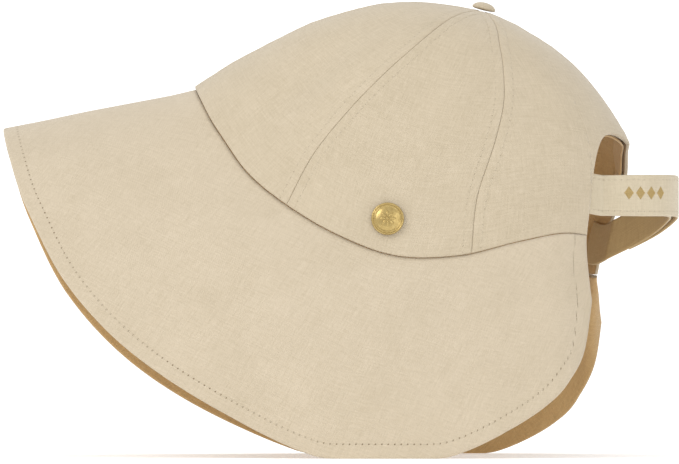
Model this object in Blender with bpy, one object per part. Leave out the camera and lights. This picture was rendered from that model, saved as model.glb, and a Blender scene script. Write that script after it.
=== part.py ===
"""Linen sun bonnet: a six-panel cap crown with a wide drooping brim, an arched
opening with a strap at the back, a covered button on top and a metal button on the left.

Metres, +Z up. The front points to -Y and the wearer's left side to +X. The bonnet rests
on the lower edge of its brim, and the origin is the bottom centre of its box.
"""

import math

import bmesh
import bpy
import numpy as np
from mathutils import Matrix, Vector

# Crown, measured in its own tilted frame: back along the rim chord, and up square to it
CROWN_LENGTH = 0.2144
CROWN_HALF_WIDTH = 0.080
CROWN_HEIGHT = 0.0646
BUTTON_BACK = 0.120
SIDE_DEPTH = 0.0536
CROWN_PITCH = math.radians(13.6)
CROWN_WALL = 0.0018
DENT_DEPTH = 0.0028

# Panels and the arched opening at the back, as turns in degrees from the front centre
FRONT_SEAM_TURN = 60.0
BACK_SEAM_TURN = 108.0
LEFT_OPENING_TURN = 140.5
RIGHT_OPENING_TURN = 152.0
ARCH_LIFT = 0.29
ARCH_TILT = 0.04
ARCH_SQUARENESS = 3.4
APEX_HOLE_RADIUS = 0.0042
SEWN_GAP = 0.0003

# Brim
BRIM_WIDTH = 0.090
BRIM_WALL = 0.0024
BRIM_BULGE = 0.004
FLOOR_PRESS = 0.0016

BRIM_STEP = 0.0015

# Facing tape inside the arch
FACING_WIDTH = 0.008
FACING_WALL = 0.0010
FACING_GAP = 0.0012

# Strap, its tab and the fastening between them
STRAP_WIDTH = 0.0190
STRAP_WALL = 0.0016
STRAP_REACH = 0.029
STRAP_TUCK_TURN = 8.0
STRAP_LEAVE_TURN = 7.0
STRAP_LEFT_ALONG = 0.885
STRAP_RIGHT_ALONG = 0.935
STRAP_END = 0.90
TAB_OVERLAP = 0.62
CLOSURE_WALL = 0.0012
CLOSURE_WIDTH = 0.0135
CLOSURE_SPAN = (0.52, 0.82)

# Buttons
TOP_BUTTON_RADIUS = 0.0062
TOP_BUTTON_HEIGHT = 0.0042
TOP_STEM_RADIUS = 0.0018
SIDE_BUTTON_RADIUS = 0.0075
SIDE_BUTTON_HEIGHT = 0.0032
SIDE_BUTTON_TURN = 85.5
SIDE_BUTTON_ALONG = 0.935
ROSETTE_RAYS = 8

# Mesh resolution
ROUND_SIDES = 24
FRONT_STEPS = 12
SIDE_STEPS = 10
BACK_STEPS = 18
CROWN_ROWS = 12
ARCH_STEPS = 12
ARCH_SAMPLES = 401
STRAP_STEPS = 24
STRAP_SHARES = (-0.5, -0.4, 0.0, 0.4, 0.5)

# Lower edge of the crown. "drop" is a share of SIDE_DEPTH
RIM_COLUMNS = ("turn", "drop")
RIM_ROWS = (
    (0, 0.0),
    (15, 0.085),
    (30, 0.31),
    (45, 0.59),
    (60, 0.79),
    (75, 0.935),
    (90, 0.99),
    (105, 0.865),
    (120, 0.625),
    (132, 0.475),
    (145, 0.44),
    (180, 0.44),
)

# Turns by which the front and back seams between panels swing off their straight meridians
SEAM_COLUMNS = ("along", "front", "back")
SEAM_ROWS = (
    (0.000, 12.0, 5.0),
    (0.125, 12.0, 5.0),
    (0.250, 10.5, 5.0),
    (0.375, 10.0, 3.0),
    (0.500, 7.5, 3.5),
    (0.625, 4.5, 3.5),
    (0.750, 1.5, 1.2),
    (0.875, -0.5, -1.2),
    (1.000, 0.0, 0.0),
)

# The soft right side lies lower and further back than the left, in metres at the brim's edge
SLACK_COLUMNS = ("turn", "back", "down")
SLACK_ROWS = (
    (0, 0.0, 0.0),
    (30, 0.0002, 0.0055),
    (45, 0.0008, 0.0085),
    (60, 0.0028, 0.0095),
    (75, 0.0042, 0.0078),
    (90, 0.0050, 0.0036),
    (105, 0.0058, 0.0020),
    (120, 0.0072, 0.0076),
    (140, 0.0044, 0.0100),
    (180, 0.0, 0.0),
)

# The same for the right side of the crown: at its rim, and the bulge of its back in between
SAG_COLUMNS = ("turn", "back", "down", "bulge")
SAG_ROWS = (
    (0, 0.0, 0.0, 0.0),
    (30, 0.0001, 0.0038, 0.0),
    (45, 0.0006, 0.0059, 0.0),
    (60, 0.0020, 0.0066, 0.0),
    (75, 0.0029, 0.0055, 0.0),
    (90, 0.0035, 0.0025, 0.0),
    (105, 0.0041, 0.0022, 0.0),
    (120, 0.0045, 0.0070, 0.0015),
    (132, 0.0020, 0.0115, 0.0050),
    (140, -0.0010, 0.0142, 0.0075),
    (152, -0.0060, 0.0160, 0.0080),
    (160, -0.0055, 0.0110, 0.0045),
    (170, -0.0030, 0.0040, 0.0010),
    (180, 0.0, 0.0, 0.0),
)
BULGE_ALONG = 0.76
BULGE_SPREAD = 0.13

# Meridians from the button to the rim. "fall" is a share of the height, the rest of the reach
MERIDIAN_COLUMNS = ("along", "fall", "front", "side", "back")
MERIDIAN_ROWS = (
    (0.000, 0.000, 0.000, 0.000, 0.000),
    (0.125, 0.014, 0.130, 0.190, 0.100),
    (0.250, 0.047, 0.250, 0.365, 0.225),
    (0.375, 0.115, 0.378, 0.525, 0.405),
    (0.500, 0.218, 0.492, 0.660, 0.570),
    (0.625, 0.360, 0.620, 0.775, 0.728),
    (0.750, 0.540, 0.740, 0.870, 0.875),
    (0.875, 0.760, 0.875, 0.945, 0.955),
    (1.000, 1.000, 1.000, 1.000, 1.000),
)

# Soft dents of the crown. "depth" is a share of DENT_DEPTH, the spreads are half widths
DENT_COLUMNS = ("turn", "along", "depth", "turn_spread", "along_spread")
DENT_ROWS = (
    (38, 0.74, 1.0, 9, 0.22),
    (79, 0.62, 0.9, 9, 0.20),
    (121, 0.60, 0.6, 8, 0.18),
    (-42, 0.72, 0.8, 9, 0.20),
    (-88, 0.66, 0.8, 10, 0.20),
    (-124, 0.60, 0.6, 8, 0.18),
)

# Outer edge of the brim, as shares of BRIM_WIDTH from the rim point at the same turn
BRIM_COLUMNS = ("turn", "forward", "down", "out")
BRIM_ROWS = (
    (0.0, 0.975, 0.212, 0.000),
    (15.0, 0.970, 0.283, 0.075),
    (30.0, 0.963, 0.394, 0.122),
    (45.0, 0.924, 0.540, 0.165),
    (60.0, 0.815, 0.717, 0.183),
    (75.0, 0.622, 0.871, 0.219),
    (90.0, 0.374, 1.018, 0.278),
    (105.0, 0.192, 1.043, 0.330),
    (120.0, 0.066, 0.950, 0.394),
    (126.0, -0.008, 0.853, 0.399),
    (132.0, -0.030, 0.740, 0.389),
    (136.5, -0.038, 0.590, 0.326),
    (140.5, -0.021, 0.323, 0.249),
)
BRIM_SHARES = (0.0, 0.03, 0.2, 0.4, 0.6, 0.8, 0.92, 0.97, 1.0)

# The strap's loop: shares of its half width, of its reach and of the right end's lower height
STRAP_COLUMNS = ("share", "width", "reach", "fall")
STRAP_ROWS = (
    (0.000, 1.00, 0.00, 0.00),
    (0.125, 0.86, 0.36, 0.00),
    (0.250, 0.63, 0.70, 0.00),
    (0.375, 0.34, 0.92, 0.00),
    (0.500, 0.00, 1.00, 0.03),
    (0.625, -0.34, 0.92, 0.16),
    (0.750, -0.63, 0.70, 0.41),
    (0.875, -0.86, 0.36, 0.72),
    (1.000, -1.00, 0.00, 1.00),
)

LINEN = ("linen", (0.73, 0.63, 0.46), 0.9, 0.0)
LINEN_INSIDE = ("linen_inside", (0.60, 0.50, 0.34), 0.92, 0.0)
GOLD = ("gold_metal", (0.80, 0.62, 0.28), 0.28, 1.0)


def column(columns, rows, name):
    """One named column of a table."""
    return np.array([row[columns.index(name)] for row in rows], float)


def smooth(places, values, at):
    """Cubic curve through the values, with each slope taken from the neighbours."""
    slopes = np.gradient(values, places)
    at = np.clip(at, places[0], places[-1])
    i = np.clip(np.searchsorted(places, at) - 1, 0, len(places) - 2)
    step = places[i + 1] - places[i]
    x = (at - places[i]) / step
    return (
        (2 * x**3 - 3 * x**2 + 1) * values[i]
        + (x**3 - 2 * x**2 + x) * step * slopes[i]
        + (3 * x**2 - 2 * x**3) * values[i + 1]
        + (x**3 - x**2) * step * slopes[i + 1]
    )


def mirrored(columns, rows, name, turn, sign=1.0):
    """A column read by turn on both sides of the front centre: even, or odd with sign -1."""
    turns = column(columns, rows, "turn")
    values = column(columns, rows, name)
    turns = np.concatenate([-turns[:0:-1], turns])
    values = np.concatenate([sign * values[:0:-1], values])
    return smooth(turns, values, turn)


def ease(x):
    """Smooth step from 0 to 1."""
    x = min(max(x, 0.0), 1.0)
    return x * x * (3 - 2 * x)


def tilted(side, back, up):
    """A point of the crown's own frame, upright and pitched back."""
    return np.array(
        [
            side,
            back * math.cos(CROWN_PITCH) + up * math.sin(CROWN_PITCH),
            up * math.cos(CROWN_PITCH) - back * math.sin(CROWN_PITCH),
        ]
    )


def brim_slack(turn):
    """How far the edge of the brim has slid back and down on the soft right side."""
    if turn >= 0:
        return np.zeros(3)
    turns = column(SLACK_COLUMNS, SLACK_ROWS, "turn")
    back, down = (
        smooth(turns, column(SLACK_COLUMNS, SLACK_ROWS, name), -turn) for name in ("back", "down")
    )
    return np.array([0, back, -down])


def crown_sag(turn, along):
    """How far the soft right side of the crown has slid back and down."""
    if turn >= 0:
        return np.zeros(3)
    turns = column(SAG_COLUMNS, SAG_ROWS, "turn")
    back, down, bulge = (
        smooth(turns, column(SAG_COLUMNS, SAG_ROWS, name), -turn) for name in SAG_COLUMNS[1:]
    )
    bulged = bulge * math.exp(-(((along - BULGE_ALONG) / BULGE_SPREAD) ** 2))
    return np.array([0, back * along**3 + bulged, -down * along**2])


def opening_turn(turn):
    """The turn of the opening's edge on the side of this turn."""
    return RIGHT_OPENING_TURN if turn < 0 else LEFT_OPENING_TURN


def seam_swing(turn, along):
    """The turn of a place whose panel seams would stand on straight meridians at this turn."""
    places = column(SEAM_COLUMNS, SEAM_ROWS, "along")
    front, back = (
        smooth(places, column(SEAM_COLUMNS, SEAM_ROWS, name), along) for name in ("front", "back")
    )
    stations = (0.0, FRONT_SEAM_TURN, BACK_SEAM_TURN, opening_turn(turn))
    return turn + math.copysign(np.interp(abs(turn), stations, (0.0, front, back, 0.0)), turn)


def dent(turn, along):
    """Depth of the soft dents at a place on the crown."""
    depth = 0.0
    for centre, middle, share, turn_spread, along_spread in DENT_ROWS:
        away = ((turn - centre) / turn_spread) ** 2 + ((along - middle) / along_spread) ** 2
        depth += DENT_DEPTH * share * math.exp(-away)
    return depth


def crown_point(turn, along, sagged=1.0):
    """A point on the outside of the crown, from the button (0) to the rim (1)."""
    turn = (turn + 180.0) % 360.0 - 180.0
    angle = math.radians(turn)
    rim_back = CROWN_LENGTH / 2 * (1 - math.cos(angle))
    rim_up = -SIDE_DEPTH * mirrored(RIM_COLUMNS, RIM_ROWS, "drop", turn)
    places = column(MERIDIAN_COLUMNS, MERIDIAN_ROWS, "along")
    fall, front, side, back = (
        smooth(places, column(MERIDIAN_COLUMNS, MERIDIAN_ROWS, name), along)
        for name in MERIDIAN_COLUMNS[1:]
    )
    rearward = ease((1 - math.cos(angle)) / 2)
    reach = front * (1 - rearward) + back * rearward
    pressed = 1 - dent(turn, along) / CROWN_HALF_WIDTH
    point = tilted(
        CROWN_HALF_WIDTH * math.sin(angle) * side * pressed,
        BUTTON_BACK + (rim_back - BUTTON_BACK) * reach * pressed,
        CROWN_HEIGHT + (rim_up - CROWN_HEIGHT) * fall,
    )
    return point + crown_sag(turn, along) * sagged


def crown_frame(turn, along, step=0.01):
    """(point, outward normal, direction of growing turn) on the outside of the crown."""
    point = crown_point(turn, along)
    across = crown_point(turn + 100 * step, along) - crown_point(turn - 100 * step, along)
    low, high = max(along - step, 0.0), min(along + step, 1.0)
    down = crown_point(turn, high) - crown_point(turn, low)
    across /= np.linalg.norm(across)
    normal = np.cross(down, across)
    return point, normal / np.linalg.norm(normal), across


def arch_along(turn):
    """Where the back opening cuts the meridian of this turn, a little higher on its left."""
    middle = 180.0 + (LEFT_OPENING_TURN - RIGHT_OPENING_TURN) / 2
    half = 180.0 - (LEFT_OPENING_TURN + RIGHT_OPENING_TURN) / 2
    across = min(max((turn % 360.0 - middle) / half, -1.0), 1.0)
    lift = (1 - abs(across) ** ARCH_SQUARENESS) ** (1 / ARCH_SQUARENESS)
    return 1 - (ARCH_LIFT - ARCH_TILT * across) * lift


def arch_turns(sign):
    """Turns from the opening's edge to the back centre, evenly spaced along the arch."""
    start = opening_turn(sign)
    turns = sign * (start + (180.0 - start) * np.linspace(0, 1, ARCH_SAMPLES) ** 3)
    edge = np.array([crown_point(turn, arch_along(turn)) for turn in turns])
    steps = np.linalg.norm(np.diff(edge, axis=0), axis=1)
    length = np.concatenate([[0.0], np.cumsum(steps)])
    return np.interp(np.linspace(0, length[-1], ARCH_STEPS + 1), length, turns)


def brim_edge(turn):
    """The outer edge of the brim before it meets the floor."""
    size, start = abs(turn), BACK_SEAM_TURN
    if size > start:
        squeeze = (LEFT_OPENING_TURN - start) / (opening_turn(turn) - start)
        turn = math.copysign(start + (size - start) * squeeze, turn)
    forward = mirrored(BRIM_COLUMNS, BRIM_ROWS, "forward", turn)
    down = mirrored(BRIM_COLUMNS, BRIM_ROWS, "down", turn)
    out = mirrored(BRIM_COLUMNS, BRIM_ROWS, "out", turn, -1.0)
    edge = crown_point(turn, 1.0, 0.0) + BRIM_WIDTH * np.array([out, -forward, -down])
    return edge + brim_slack(turn)


def floor_height():
    """Height of the surface that the left half of the brim presses on."""
    turns = np.arange(0.0, LEFT_OPENING_TURN, 1.0)
    return min(brim_edge(turn)[2] for turn in turns) + 2 * FLOOR_PRESS


def rested(height, floor):
    """A height eased onto the floor, flat where it would lie below."""
    above, soft = height - floor, FLOOR_PRESS
    if above <= -soft:
        return floor
    if above >= soft:
        return height
    return floor + (above + soft) ** 2 / (4 * soft)


def brim_point(turn, share, floor):
    """A point on the outside of the brim, from the rim (0) to the edge (1)."""
    start, normal, _ = crown_frame(turn, 1.0)
    start = start - normal * BRIM_STEP * ease((opening_turn(turn) - abs(turn)) / 60)
    end = brim_edge(turn)
    end[2] = rested(end[2], floor)
    run = end - start
    share = share + (1 - share) * SEWN_GAP / np.linalg.norm(run)
    outward = np.array([math.sin(math.radians(turn)), -0.25, 0.0])
    bulge = BRIM_BULGE * math.sin(math.radians(min(abs(turn), 90.0)))
    return start + run * share + outward * bulge * 4 * share * (1 - share)


def grid_normals(grid):
    """Unit normals of a grid of points, by the differences of its neighbours."""
    normals = np.cross(np.gradient(grid, axis=0), np.gradient(grid, axis=1))
    return normals / np.linalg.norm(normals, axis=2, keepdims=True)


def new_object(name, mesh, look):
    """An object with its own material and smooth shading."""
    slot, colour, roughness, metallic = look
    material = bpy.data.materials.get(slot) or bpy.data.materials.new(slot)
    material.use_nodes = True
    shader = material.node_tree.nodes["Principled BSDF"]
    shader.inputs["Base Color"].default_value = (*colour, 1.0)
    shader.inputs["Roughness"].default_value = roughness
    shader.inputs["Metallic"].default_value = metallic
    mesh.materials.append(material)
    obj = bpy.data.objects.new(name, mesh)
    bpy.context.scene.collection.objects.link(obj)
    mesh.shade_smooth()
    mesh.set_sharp_from_angle(angle=math.radians(40))
    return obj


def wall_between(name, outer, inner, look):
    """A closed wall between two grids of points, with its four borders filled."""
    rows, columns = outer.shape[:2]
    mesh = bmesh.new()
    skins = [
        [[mesh.verts.new(Vector(point)) for point in line] for line in skin]
        for skin in (outer, inner)
    ]
    for skin, flip in zip(skins, (False, True)):
        for i in range(rows - 1):
            for j in range(columns - 1):
                face = [skin[i][j], skin[i][j + 1], skin[i + 1][j + 1], skin[i + 1][j]]
                mesh.faces.new(face[::-1] if flip else face)
    border = [(0, j) for j in range(columns)]
    border += [(i, columns - 1) for i in range(1, rows)]
    border += [(rows - 1, j) for j in range(columns - 2, -1, -1)]
    border += [(i, 0) for i in range(rows - 2, 0, -1)]
    front, back = skins
    for (i, j), (k, m) in zip(border, border[1:] + border[:1]):
        mesh.faces.new([front[k][m], front[i][j], back[i][j], back[k][m]])
    bmesh.ops.recalc_face_normals(mesh, faces=mesh.faces)
    data = bpy.data.meshes.new(name)
    mesh.to_mesh(data)
    mesh.free()
    return new_object(name, data, look)


def crown_panel(name, turns):
    """One panel of the crown, held half a gap away from its neighbours."""
    first = APEX_HOLE_RADIUS / (CROWN_HALF_WIDTH * 0.19 / 0.125)
    outer, inner = [], []
    for row in range(CROWN_ROWS + 1):
        share = row / CROWN_ROWS
        outer_line, inner_line = [], []
        for turn in turns:
            last = arch_along(turn)
            along = first + (last - first) * share
            point, normal, across = crown_frame(seam_swing(turn, along), along)
            if turn in (turns[0], turns[-1]):
                inwards = 1.0 if turn == min(turns) else -1.0
                point = point + across * inwards * SEWN_GAP / 2
            outer_line.append(point)
            inner_line.append(point - normal * CROWN_WALL)
        outer.append(outer_line)
        inner.append(inner_line)
    return wall_between(name, np.array(outer), np.array(inner), LINEN)


def rim_spans(sign):
    """Turns of the columns along the rim, for each part of one side."""
    return {
        "front": sign * np.linspace(0.0, FRONT_SEAM_TURN, FRONT_STEPS + 1),
        "side": sign * np.linspace(FRONT_SEAM_TURN, BACK_SEAM_TURN, SIDE_STEPS + 1),
        "back": sign * np.linspace(BACK_SEAM_TURN, opening_turn(sign), BACK_STEPS + 1),
    }


def crown_panels():
    """Front, side and back panels of both sides."""
    panels = []
    for side, sign in (("left", 1), ("right", -1)):
        spans = rim_spans(sign)
        spans["back"] = np.concatenate([spans["back"][:-1], arch_turns(sign)])
        panels += [crown_panel(f"crown_{part}_{side}", turns) for part, turns in spans.items()]
    return panels


def brim(floor):
    """The brim as one wall, flat below where it rests."""
    turns = np.unique(np.concatenate([*rim_spans(1).values(), *rim_spans(-1).values()]))
    outer = np.array(
        [[brim_point(turn, share, floor) for turn in turns] for share in BRIM_SHARES]
    )
    inner = outer - grid_normals(outer) * BRIM_WALL
    inner[-1, :, 2] = np.maximum(inner[-1, :, 2], floor)
    return wall_between("brim", outer, inner, LINEN)


def moved_inwards(turn, run, distance):
    """The (turn, along) of a place inside the arch's edge, square to the edge's run."""
    along = arch_along(turn)
    by_turn = crown_point(turn + 0.5, along) - crown_point(turn - 0.5, along)
    by_along = (crown_point(turn, along) - crown_point(turn, along - 0.01)) / 0.01
    inwards = np.cross(run, np.cross(by_turn, by_along))
    inwards *= distance / np.linalg.norm(inwards)
    inwards *= np.sign(np.dot(inwards, crown_point(turn, along) - crown_point(180.0, 0.95)))
    shift = np.linalg.lstsq(np.stack([by_turn, by_along], axis=1), inwards, rcond=None)[0]
    return turn + shift[0], along + shift[1]


def arch_facing():
    """Tape that follows the arch inside the crown, above the strap's two ends."""
    strap_top = STRAP_WIDTH / 2 / (SIDE_DEPTH + CROWN_HEIGHT)
    left, right = (
        [turn for turn in arch_turns(sign) if arch_along(turn) < along - strap_top - 0.01]
        for sign, along in ((1, STRAP_LEFT_ALONG), (-1, STRAP_RIGHT_ALONG))
    )
    turns = left + right[-2::-1]
    edge = [crown_point(turn, arch_along(turn)) for turn in turns]
    outer, inner = [], []
    for turn, run in zip(turns, np.gradient(edge, axis=0)):
        outer_line, inner_line = [], []
        for share in (0.0, 0.5, 1.0):
            place = moved_inwards(turn, run, FACING_WIDTH * share)
            point, normal, _ = crown_frame(*place)
            outer_line.append(point - normal * (CROWN_WALL + FACING_GAP))
            inner_line.append(point - normal * (CROWN_WALL + FACING_GAP + FACING_WALL))
        outer.append(outer_line)
        inner.append(inner_line)
    return wall_between("arch_facing", np.array(outer), np.array(inner), LINEN_INSIDE)


def tucked_section(turn, along):
    """Middle points across the strap where it lies inside the crown's back panel."""
    depth = CROWN_WALL + SEWN_GAP + STRAP_WALL / 2
    per_along = np.linalg.norm(crown_point(turn, along + 0.02) - crown_point(turn, along - 0.02))
    spread = STRAP_WIDTH / per_along * 0.04
    section = []
    for share in STRAP_SHARES:
        point, normal, _ = crown_frame(turn, along - share * spread)
        section.append(point - normal * depth)
    return np.array(section)


def tucked_sections(sign, along):
    """Sections from the tucked end to where the strap leaves the crown."""
    turns = np.linspace(-STRAP_TUCK_TURN, STRAP_LEAVE_TURN, 5) + opening_turn(sign)
    return [tucked_section(sign * turn, along) for turn in turns]


def loop_sections(start, end, outward):
    """Sections of the free loop between two tucked ones, moved outwards."""
    places = column(STRAP_COLUMNS, STRAP_ROWS, "share")
    upright = np.array(STRAP_SHARES)[:, None] * STRAP_WIDTH * np.array([0, 0, 1.0])
    left, right = start.mean(axis=0), end.mean(axis=0)
    sections = []
    for share in np.linspace(0, 1, STRAP_STEPS + 1):
        width, reach, fall = (
            smooth(places, column(STRAP_COLUMNS, STRAP_ROWS, name), share)
            for name in STRAP_COLUMNS[1:]
        )
        near = start if share <= 0.5 else end
        side = abs(near[:, 0].mean()) + outward
        lean = near - near.mean(axis=0)
        base = left + (right - left) * ease(share)
        centre = np.array(
            [
                side * width,
                base[1] + (STRAP_REACH + outward) * reach,
                left[2] + (right[2] - left[2]) * fall,
            ]
        )
        free = ease(min(share, 1 - share) * 4)
        sections.append(centre + lean + (upright - lean) * free)
    return np.array(sections)


def ribbon(name, sections, wall, look):
    """A flat band of cloth through its middle sections."""
    middle = np.array(sections)
    normals = grid_normals(middle)
    return wall_between(name, middle + normals * wall / 2, middle - normals * wall / 2, look)


def straps():
    """The long strap from the left, the tab from the right and the fastening between."""
    left = tucked_sections(1, STRAP_LEFT_ALONG)
    right = tucked_sections(-1, STRAP_RIGHT_ALONG)
    places = np.linspace(0, 1, STRAP_STEPS + 1)
    step = STRAP_WALL + CLOSURE_WALL + 2 * SEWN_GAP
    inner = loop_sections(left[-1], right[-1], 0.0)
    outer = loop_sections(left[-1], right[-1], step)
    middle = loop_sections(left[-1], right[-1], step / 2)
    outside = np.array([ease(place / 0.35) for place in places])[:, None, None]
    long_part = (inner + (outer - inner) * outside)[places <= STRAP_END]
    tab_part = inner[places >= 1 - TAB_OVERLAP]
    patch_part = middle[(places > CLOSURE_SPAN[0]) & (places < CLOSURE_SPAN[1])]
    centres = patch_part.mean(axis=1, keepdims=True)
    patch_part = centres + (patch_part - centres) * CLOSURE_WIDTH / STRAP_WIDTH
    return [
        ribbon("strap", [*left[:-1], *long_part], STRAP_WALL, LINEN),
        ribbon("strap_tab", [*tab_part, *right[-2::-1]], STRAP_WALL, LINEN),
        ribbon("closure_patch", patch_part, CLOSURE_WALL, LINEN_INSIDE),
    ]


def turned(name, profile, sides, point, axis, look, sway=None):
    """A profile of (radius, height) turned about an axis through a point."""
    mesh = bmesh.new()
    rings = []
    for index, (radius, height) in enumerate(profile):
        if radius == 0:
            rings.append([mesh.verts.new((0, 0, height))])
            continue
        ring = []
        for k in range(sides):
            angle = 2 * math.pi * k / sides
            lift = sway(index, angle) if sway else 0.0
            place = (radius * math.cos(angle), radius * math.sin(angle), height + lift)
            ring.append(mesh.verts.new(place))
        rings.append(ring)
    for low, high in zip(rings, rings[1:]):
        for k in range(sides):
            n = (k + 1) % sides
            corners = [low[k % len(low)], low[n % len(low)], high[n % len(high)], high[k % len(high)]]
            mesh.faces.new(list(dict.fromkeys(corners)))
    bmesh.ops.recalc_face_normals(mesh, faces=mesh.faces)
    data = bpy.data.meshes.new(name)
    mesh.to_mesh(data)
    mesh.free()
    turn = Vector((0, 0, 1)).rotation_difference(Vector(axis)).to_matrix().to_4x4()
    data.transform(Matrix.Translation(Vector(point)) @ turn)
    return new_object(name, data, look)


def top_button():
    """Cloth-covered button over the point where the panels meet, on a short stem."""
    apex = crown_point(0.0, 0.0)
    axis = tilted(0.0, 0.0, 1.0)
    radius, height, stem = TOP_BUTTON_RADIUS, TOP_BUTTON_HEIGHT, TOP_STEM_RADIUS
    profile = (
        (0, -CROWN_WALL - SEWN_GAP),
        (stem, -CROWN_WALL - SEWN_GAP),
        (stem, SEWN_GAP),
        (radius * 0.92, SEWN_GAP),
        (radius, height * 0.22),
        (radius * 0.97, height * 0.45),
        (radius * 0.80, height * 0.76),
        (radius * 0.48, height * 0.95),
        (0, height),
    )
    return turned("top_button", profile, ROUND_SIDES, apex, axis, LINEN)


def side_button():
    """Domed metal button with a raised rim and a shallow rosette, on the left of the crown."""
    point, normal, _ = crown_frame(SIDE_BUTTON_TURN, SIDE_BUTTON_ALONG)
    radius, height = SIDE_BUTTON_RADIUS, SIDE_BUTTON_HEIGHT
    profile = (
        (0, 0),
        (radius * 0.94, 0),
        (radius, height * 0.25),
        (radius, height * 0.50),
        (radius * 0.95, height * 0.72),
        (radius * 0.89, height * 0.80),
        (radius * 0.83, height * 0.72),
        (radius * 0.79, height * 0.58),
        (radius * 0.72, height * 0.66),
        (radius * 0.52, height * 0.84),
        (radius * 0.30, height * 0.95),
        (radius * 0.13, height * 0.99),
        (0, height),
    )
    raised = {9: 0.5, 10: 1.0, 11: 0.4}

    def rosette(index, angle):
        return raised.get(index, 0.0) * height * 0.06 * math.cos(ROSETTE_RAYS * angle)

    seat = point + normal * SEWN_GAP
    return turned("side_button", profile, 2 * ROUND_SIDES, seat, normal, GOLD, rosette)


def stand_at_origin(objects, floor):
    """Moves all pieces so that the origin is the bottom centre of the bonnet's box."""
    points = np.array([v.co for o in objects for v in o.data.vertices])
    middle = (points.min(axis=0) + points.max(axis=0)) / 2
    shift = Matrix.Translation((-middle[0], -middle[1], -floor))
    for obj in objects:
        obj.data.transform(shift)


def build():
    """The whole bonnet."""
    for obj in list(bpy.data.objects):
        bpy.data.objects.remove(obj)
    floor = floor_height()
    pieces = crown_panels()
    pieces += [brim(floor), arch_facing()]
    pieces += straps()
    pieces += [top_button(), side_button()]
    stand_at_origin(pieces, floor)


build()
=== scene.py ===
"""Linen sun bonnet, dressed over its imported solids: six crown panels, a wide topstitched
brim, an arched opening with a strap at the back, a covered button and a brass button.

Metres, +Z up. The front points to -Y and the wearer's left side to +X. The bonnet stands on
the lower edge of its brim. The shapes come from the same named sizes as its solids.
"""

import math

import bmesh
import bpy
import numpy as np
from mathutils import Matrix, Vector, noise


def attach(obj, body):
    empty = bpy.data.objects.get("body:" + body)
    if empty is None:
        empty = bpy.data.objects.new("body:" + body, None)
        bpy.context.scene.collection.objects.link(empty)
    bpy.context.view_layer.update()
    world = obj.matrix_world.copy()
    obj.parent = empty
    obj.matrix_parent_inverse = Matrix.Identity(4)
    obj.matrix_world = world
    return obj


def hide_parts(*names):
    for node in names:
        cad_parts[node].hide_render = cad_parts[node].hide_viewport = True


# Crown, measured in its own tilted frame: back along the rim chord, and up square to it
CROWN_LENGTH = 0.2144
CROWN_HALF_WIDTH = 0.080
CROWN_HEIGHT = 0.0646
BUTTON_BACK = 0.120
SIDE_DEPTH = 0.0536
CROWN_PITCH = math.radians(13.6)
CROWN_WALL = 0.0018
DENT_DEPTH = 0.0028
# From the crown's frame to the standing bonnet's
STANDING = np.array([-0.0000037, -0.0667476, 0.1687625])

# Panels and the arched opening at the back, as turns in degrees from the front centre
FRONT_SEAM_TURN = 60.0
BACK_SEAM_TURN = 108.0
LEFT_OPENING_TURN = 140.5
RIGHT_OPENING_TURN = 152.0
ARCH_LIFT = 0.29
ARCH_TILT = 0.04
ARCH_SQUARENESS = 3.4
APEX_SHARE = 0.026
PANEL_GAP = 0.00006

# Brim
BRIM_WIDTH = 0.090
BRIM_WALL = 0.0024
BRIM_BULGE = 0.004
FLOOR_PRESS = 0.0016
BRIM_STEP = 0.0015
BRIM_STEP_FADE = 60.0
BRIM_BULGE_FORWARD = 0.25
BRIM_GAP = 0.0003

# Facing tape inside the arch
FACING_WIDTH = 0.008
FACING_WALL = 0.0010
FACING_GAP = 0.0012

# Strap, its tab and the fastening between them
STRAP_WIDTH = 0.0190
STRAP_WALL = 0.0016
STRAP_REACH = 0.029
STRAP_TUCK_TURN = 8.0
STRAP_LEAVE_TURN = 7.0
STRAP_LEFT_ALONG = 0.885
STRAP_RIGHT_ALONG = 0.935
STRAP_END = 0.90
TAB_OVERLAP = 0.62
STRAP_CROSSING = 0.35
STRAP_GAP = 0.0003
CLOSURE_WALL = 0.0012
CLOSURE_WIDTH = 0.0135
CLOSURE_SPAN = (0.52, 0.82)

# Buttons
TOP_BUTTON_RADIUS = 0.0062
TOP_BUTTON_HEIGHT = 0.0042
SIDE_BUTTON_RADIUS = 0.0075
SIDE_BUTTON_HEIGHT = 0.0032
SIDE_BUTTON_TURN = 85.5
SIDE_BUTTON_ALONG = 0.935
# Rings of a button's top from its edge inwards, each (width, rise)
TOP_BUTTON_RINGS = ((0.0010, 0.0011), (0.0014, 0.0008), (0.0016, 0.00035), (0.0012, 0.0001))
SIDE_BUTTON_RINGS = (
    (0.00022, 0.00028), (0.00045, 0.00010), (0.00018, -0.00032), (0.00025, 0.0),
    (0.00016, 0.00026), (0.00034, 0.00004), (0.00018, -0.00026), (0.00030, 0.00004),
    (0.00090, 0.00030), (0.00120, 0.00026), (0.00130, 0.00014), (0.00110, 0.00005),
)
PLEAT_COUNT = 18
PLEAT_HEIGHT = 0.00006
PETAL_COUNT = 8
PETAL_SIZE = (0.00145, 0.00062, 0.00034)
PETAL_REACH = 0.0024
PETAL_SUNK = 0.00016
PETAL_LEAN = 0.16
BEAD_SIZE = (0.0007, 0.0007, 0.0004)
BUTTON_LIFT = 0.0003

# Stitches
STITCH_PITCH = 0.0030
STITCH_LENGTH = 0.0021
STITCH_WIDTH = 0.00038
STITCH_FLATNESS = 0.8
STITCH_SUNK = 0.00002
HEM_DISTANCE = 0.0066
SEAM_DISTANCE = 0.0042
ARCH_DISTANCES = (0.0024, 0.0050)
STRAP_DISTANCE = 0.0023

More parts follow.
